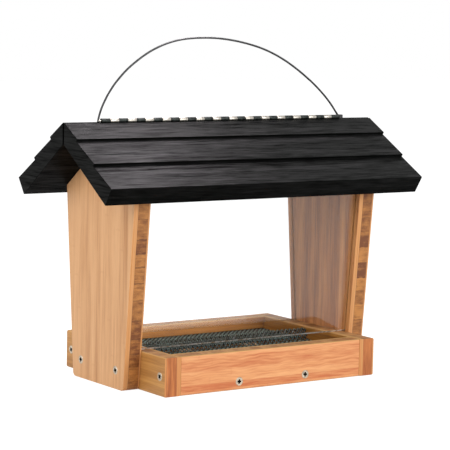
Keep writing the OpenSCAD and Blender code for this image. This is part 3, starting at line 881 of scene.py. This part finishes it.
def pin(finish):
    """The hinge's pin with domed tips."""
    r, length = PIN_D / 2, HINGE_LEN + PIN_TAIL
    dome = [(0.0, 0.0), (r * 0.55, 0.06), (r * 0.85, 0.22), (r, 0.5)]
    profile = dome + [(radius, length - back) for radius, back in dome[::-1]]
    mesh = lathe("pin_with_domed_tips", profile, finish,
            (-HINGE_LEN / 2 - PIN_TAIL, 0.0, HINGE_Z), (1, 0, 0), sides=28)
    show("pin_with_domed_tips", mesh, "hinge_pin")


# Mesh floor

def mesh_link(long_pitch, short_pitch):
    """One bond of expanded metal with its four half strands."""
    strand, thick, bond, tilt = 0.72, 0.7, 1.3, 0.3
    half = bond / 2
    plan = {}
    for sx in (-1, 1):
        for sy in (-1, 0, 1):
            plan[(sx, sy)] = (sx * half, sy * strand, sy * tilt)
        for sy in (-1, 1):
            run = Vector((sx * (long_pitch / 4 - half), sy * (short_pitch / 4 - strand / 2)))
            normal = Vector((-run.y, run.x)).normalized() * (sx * sy * strand / 2)
            mid = Vector((sx * long_pitch / 4, sy * short_pitch / 4))
            plan[(sx, sy, "far")] = (*(mid + normal), 0.0)
            plan[(sx, sy, "near")] = (*(mid - normal), 0.0)
    bm = bmesh.new()
    level = {(key, up): bm.verts.new((x * MM, y * MM, (z + up * thick / 2) * MM))
            for up in (-1, 1) for key, (x, y, z) in plan.items()}
    cells = [[(-1, -1), (1, -1), (1, 0), (1, 1), (-1, 1), (-1, 0)]]
    walls = [((-1, -1), (1, -1)), ((-1, 1), (1, 1))]
    for sx in (-1, 1):
        for sy in (-1, 1):
            cells.append([(sx, 0), (sx, sy), (sx, sy, "far"), (sx, sy, "near")])
            walls += [((sx, sy), (sx, sy, "far")), ((sx, 0), (sx, sy, "near"))]
    for cell in cells:
        for up in (-1, 1):
            bm.faces.new([level[key, up] for key in cell])
    for a, b in walls:
        bm.faces.new([level[a, -1], level[b, -1], level[b, 1], level[a, 1]])
    face_outward(bm)
    bm.faces.ensure_lookup_table()
    if bm.faces[1].normal.z < 0:
        bmesh.ops.reverse_faces(bm, faces=bm.faces)
    return as_mesh(bm, "mesh_link")


def expand_metal():
    """Tree: two staggered grids of links, folded up along the middle.

    Each point keeps its distance along the sheet and its height off the sheet."""
    t = Tree("expand_metal", {
        "Link": "Object", "Long Pitch": "Float", "Short Pitch": "Float",
        "Columns": "Int", "Rows": "Int", "Fold Half": "Float", "Fold Rise": "Float",
        "Bend": "Float", "Height": "Float", "Coating": "Material"})
    given = t.given
    grids = []
    for fewer in (0.0, 1.0):
        columns, rows = given["Columns"] - fewer, given["Rows"] - fewer
        grids.append(t.add("MeshGrid", {
            "Size X": (columns - 1.0) * given["Long Pitch"], "Vertices X": columns,
            "Size Y": (rows - 1.0) * given["Short Pitch"], "Vertices Y": rows}))
    links = t.set_out("Link", t.join(*grids))
    real = t.add("RealizeInstances", {"Geometry": links})
    whole = t.add("MergeByDistance", {"Geometry": real, "Distance": 2e-6})
    x, along, off = t.split(t.add("InputPosition"))

    half, rise, bend = given["Fold Half"], given["Fold Rise"], given["Bend"]
    slope = t.math("SQRT", half * half + rise * rise)
    side, far = t.math("SIGN", along), abs(along)
    share = t.math("MINIMUM", far / slope, 1.0)
    sheet_y = side * (share * half + t.math("MAXIMUM", far - slope, 0.0))
    sheet_z = (1.0 - share) * rise + given["Height"]
    past_crest = t.math("MINIMUM", far / bend, 1.0)
    to_foot = t.math("MINIMUM", (slope - far) / bend + 0.5, 1.0)
    lean = past_crest * t.math("MAXIMUM", to_foot, 0.0)
    lean_y = side * lean * (rise / slope)
    lean_z = lean * (half / slope - 1.0) + 1.0
    place = t.vector(x, off * lean_y + sheet_y, off * lean_z + sheet_z)
    folded = t.add("SetPosition", {"Geometry": whole, "Position": place})
    return t.close(folded, "Coating")


def mesh_floor(finish):
    """The expanded metal floor, folded and let into the tray boards."""
    columns, rows, side_play, bend = 41, 30, 0.3, 0.8
    wide = TRAY_LEN - 2 * TRAY_T - 2 * side_play
    flat = TRAY_DEPTH / 2 - TRAY_T + FLOOR_IN_KERF - FOLD_HALF
    deep = 2 * (flat + hypot(FOLD_HALF, FOLD_RISE))
    long_pitch, short_pitch = wide / (columns - 0.5), deep / (rows - 0.5)
    values = {"Long Pitch": long_pitch * MM, "Short Pitch": short_pitch * MM,
            "Columns": columns, "Rows": rows, "Fold Half": FOLD_HALF * MM,
            "Fold Rise": FOLD_RISE * MM, "Bend": bend * MM,
            "Height": (FLOOR_H + FLOOR_T / 2) * MM, "Coating": finish}
    mesh = grown(expand_metal(), bpy.data.meshes.new("floor_start"),
            ("Link", mesh_link(long_pitch, short_pitch)), values, "mesh_floor_expanded")
    show("mesh_floor_expanded", mesh, "mesh_floor")


# Hanger

def smooth_route():
    """The route's points on one smooth curve, as in the part's source, in metres."""
    pts = [Vector(p) * MM for p in CABLE_ROUTE]
    last = len(pts) - 1
    found = []
    for i in range(last):
        a, b, c, d = (pts[max(i - 1, 0)], pts[i], pts[i + 1], pts[min(i + 2, last)])
        for k in range(CABLE_STEPS):
            t = k / CABLE_STEPS
            found.append(0.5 * (2 * b + (c - a) * t + (2 * a - 5 * b + 4 * c - d) * t * t
                    + (3 * b - a - 3 * c + d) * t * t * t))
    return found + [pts[last]]


def hanger(finish, stops, bushing):
    """The coated wire rope: its six outer strands show softly through the coating."""
    path = smooth_route()
    steps = [(b - a).length for a, b in zip(path, path[1:])]
    length = sum(steps)
    strands, lay, sides, spacing = 6, 0.011, 24, 0.0009
    count = round(length / spacing)
    radius, dip = CABLE_D / 2 * MM, 0.045
    bm = bmesh.new()
    rings = []
    walked, part = 0.0, 0
    for k in range(count + 1):
        far = length * k / count
        while part < len(steps) - 1 and far > walked + steps[part]:
            walked += steps[part]
            part += 1
        share = min((far - walked) / steps[part], 1.0)
        at = path[part].lerp(path[part + 1], share)
        before, after = path[max(part - 1, 0)], path[min(part + 2, len(path) - 1)]
        heading = (path[part + 1] - before).normalized().lerp(
            (after - path[part]).normalized(), share).normalized()
        u = Vector((0, 1, 0)).cross(heading).normalized()

        def reach(turn):
            wave = cos(strands * turn - 2 * pi * far / lay)
            return radius * (1 - dip * (1 - wave) / 2)
        rings.append(ring(bm, at, u, heading.cross(u), reach, sides))
    bridge(bm, rings)
    bm.faces.new(rings[0][::-1])
    bm.faces.new(rings[-1])
    face_outward(bm)
    mesh = smooth(as_mesh(bm, "hanger_wire", finish))
    wire = show("hanger_wire", mesh, "hanger_cable")
    tuple(path[0])
    [tuple(p) for p in path]


def crimped_stops(finish):
    """Two sleeves crimped on the wire's ends, each with three pressed grooves."""
    bore, outer, ease, dent = CABLE_D / 2 + 0.1, 2.0, 0.25, 0.28
    profile = [(bore, 0.0), (outer - ease, 0.0), (outer, ease)]
    for groove in (1.9, 4.0, 6.1):
        profile += [(outer, groove - 0.75), (outer - dent, groove - 0.25),
                (outer - dent, groove + 0.25), (outer, groove + 0.75)]
    profile += [(outer, STOP_LEN - ease), (outer - ease, STOP_LEN), (bore, STOP_LEN)]
    bm = bmesh.new()
    for x in (LEFT_HOLE_X, RIGHT_HOLE_X):
        centre = (x, CABLE_BACK, RIDGE_H + STOP_DEPTH - STOP_LEN)
        sleeve = lathe("stop", profile, finish, centre, (0, 0, 1))
        bm.from_mesh(sleeve)
        bpy.data.meshes.remove(sleeve)
    mesh = soften(bm, "crimped_stops", [finish], 40.0)
    return show("crimped_stops", mesh, "cable_stops")


def wire_bushing(finish):
    """The flared black bushing that the wire's right end goes through."""
    low, high = (corner.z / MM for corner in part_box("cable_bushing"))
    tall, bore, outer, funnel = high - low, 1.5, 3.4, 3.4
    profile = [(bore, 0.0), (outer - 0.3, 0.0), (outer, 0.3), (outer, tall - 0.45),
            (outer - 0.12, tall - 0.12), (outer - 0.3, tall), (outer - 0.48, tall - 0.1),
            (bore, tall - funnel)]
    mesh = lathe("wire_bushing", profile, finish, (RIGHT_HOLE_X, CABLE_BACK, low), (0, 0, 1),
            sides=40)
    return show("wire_bushing", mesh, "cable_bushing")


# Windows

def window(node, clear, sawn):
    """A clear sheet; the front one's lower edge is scraped to a wide milky chamfer."""
    bm = solid_of(node)
    join_flats(bm)
    if node.startswith("front"):
        lowest = min(v.co.z for v in bm.verts)
        scraped = [e for e in bm.edges if max(v.co.z for v in e.verts) < lowest + 1 * MM
                and abs(e.verts[0].co.x - e.verts[1].co.x) > 100 * MM
                and all(v.co.y < -37.5 * MM for v in e.verts)]
        ease_edges(bm, scraped, 1.5, segments=1)
    ease_edges(bm, corners_above(bm, 60), 0.15, segments=1)
    bm.normal_update()
    for face in bm.faces:
        face.material_index = 1 if abs(face.normal.y) < 0.9 else 0
    mesh = as_mesh(bm, node + "_sheet", clear, sawn)
    show(node + "_sheet", mesh, node)


# Boards

def end_walls():
    """The two gable boards: grain up the face, crossed core in the leaning edges.

    The inner faces are browner and darker: partly the wood, partly painted shade."""
    for node, side, start, seed in (("left_end_wall", -1, -WALL_OUT, 1.0),
            ("right_end_wall", 1, TRAY_LEN / 2, 7.0)):
        edge = bamboo_edge(node + "_edge", "X", start, "Z", (228, 166, 110),
                ((194, 130, 64), (112, 60, 20)), (72, 36, 12), seed=seed + 2.0, block=14.0,
                mirrored=False)
        outer = bamboo_face(node + "_outside", "Z", "Y", PALE, seed=seed)
        # The inside takes darker browns, partly painted shade from the roof
        inner = bamboo_face(node + "_inside", "Z", "Y", WALL_INSIDE_SHADE_BROWN, 6.2, seed + 4.0, 1.3)
        board(node, [outer, edge, inner],
              lambda n: 1 if abs(n.x) < 0.7 else 0 if n.x * side > 0 else 2)


def tray_boards():
    """The four tray boards, each from its own stock; the rear board and the end boards' inner
    faces are darker, partly as painted shade.
    """
    skin, glue, strip = (216, 170, 104), (96, 58, 26), 5.4
    long_edge = bamboo_edge("tray_long_edge", "Y", TRAY_DEPTH / 2 - TRAY_T, "X", skin,
            ((206, 152, 96), (168, 112, 62)), glue, seed=11.0)
    end_top = bamboo_edge("tray_end_top", "X", TRAY_LEN / 2 - TRAY_T, "Y", skin,
            ((200, 146, 90), (160, 106, 58)), glue, seed=15.0)
    end_end = bamboo_edge("tray_end_grain", "X", TRAY_LEN / 2 - TRAY_T, "Z", (214, 160, 100),
            ((206, 126, 64), (154, 80, 34)), (120, 62, 30), seed=19.0, streaked=True)
    front = bamboo_face("front_board_face", "X", "Z", WARM, strip, 21.0, 1.4, waves=5.0,
            figure=24.0)
    # The rear board's darker tones are partly painted shade
    rear = bamboo_face("rear_board_face", "X", "Z", REAR_SHADE_RUSSET, strip, 27.0)
    ends = bamboo_face("end_board_face", "Y", "Z", OLIVE, strip, 33.0)
    # The end boards' inside takes darker browns, partly painted shade
    shaded_inside = bamboo_face("end_board_inside", "Y", "Z", END_INSIDE_SHADE_BROWN, strip, 37.0)
    for node, face in (("front_tray_board", front), ("rear_tray_board", rear)):
        board(node, [face, long_edge], lambda n: 0 if abs(n.y) > 0.72 else 1)
    for node, side in (("left_tray_board", -1), ("right_tray_board", 1)):
        board(node, [ends, end_top, end_end, shaded_inside],
              lambda n: 2 if abs(n.y) > 0.7 else 1 if abs(n.x) < 0.72 else
              0 if n.x * side > 0 else 3)


def battens():
    """The two cross battens under the mesh."""
    face = bamboo_face("batten_face", "Y", "Z", BATTEN, seed=41.0)
    top = bamboo_face("batten_top", "Y", "X", BATTEN, seed=43.0)
    for node in ("left_cross_batten", "right_cross_batten"):
        board(node, [face, top], lambda n: 0 if abs(n.x) > 0.7 else 1, ease=0.3)


def roof_panels():
    """The clapboard panels: streaked faces, plainer ends, and undersides whose pale streaks are
    dimmed as painted shade.
    """
    face = stained_bamboo("roof_face", "X", "Y", seed=51.0)
    # The underside's lower lift is painted shade
    under = stained_bamboo("roof_under", "X", "Y", seed=57.0, lift=0.5, gloss=0.25)
    end = stained_bamboo("roof_end", "Y", "Z", seed=61.0, lift=0.1, gloss=0.55)
    for node, body in (("rear_roof_panel", BASE_BODY), ("front_roof_panel", LID_BODY)):
        board(node, [face, under, end],
              lambda n: 2 if abs(n.x) > 0.7 else 0 if n.z > 0.4 else 1, body)


def main():
    aim_camera()
    steel = black_steel()
    hanger(coated_cable(), crimped_stops(steel), wire_bushing(black_plastic()))

    light_studio()
    lay_floor()

    end_walls()
    tray_boards()
    battens()
    roof_panels()

    clear = clear_sheet()
    # Edge tones: the brown ones paint the wood seen through the clear edge; the front edge's pale
    # tones are its milky saw cut
    milky = sawn_acrylic("milky_acrylic_edge", (158, 132, 98), (242, 242, 238))
    wood_view = sawn_acrylic("wood_view_acrylic_edge", (104, 76, 46), (146, 114, 78))
    window("front_window", clear, milky)
    window("rear_window", clear, wood_view)
    mesh_floor(coated_mesh())

    zinc = bright_zinc("zinc_plate", (126, 121, 113), (206, 201, 191))
    knuckles = string_knuckles()
    hinge_leaf(knuckles, "hinge_fixed_leaf", 1, 14, zinc, BASE_BODY)
    hinge_leaf(knuckles, "hinge_moving_leaf", 0, 15, steel, LID_BODY)
    pin(zinc)

    recess = shade_painted_recess()
    plated = bright_zinc("warm_zinc_plate", (136, 124, 108), (216, 203, 182))
    wood_screw = countersunk_screw("wood_screw", *WOOD_SCREW)
    small_screw = countersunk_screw("hinge_screw", *HINGE_SCREW)
    screws = set_out_screws()
    for seed, group in enumerate(("tray_corner_screws", "wall_screws", "batten_screws")):
        drive_screws(screws, group, wood_screw, plated, recess, seed)
    drive_screws(screws, "roof_screws", wood_screw, steel, recess, 5)
    drive_screws(screws, "hinge_fixed_screws", small_screw, zinc, recess, 6)
    drive_screws(screws, "hinge_moving_screws", small_screw, zinc, recess, 7,
            body=LID_BODY)


main()
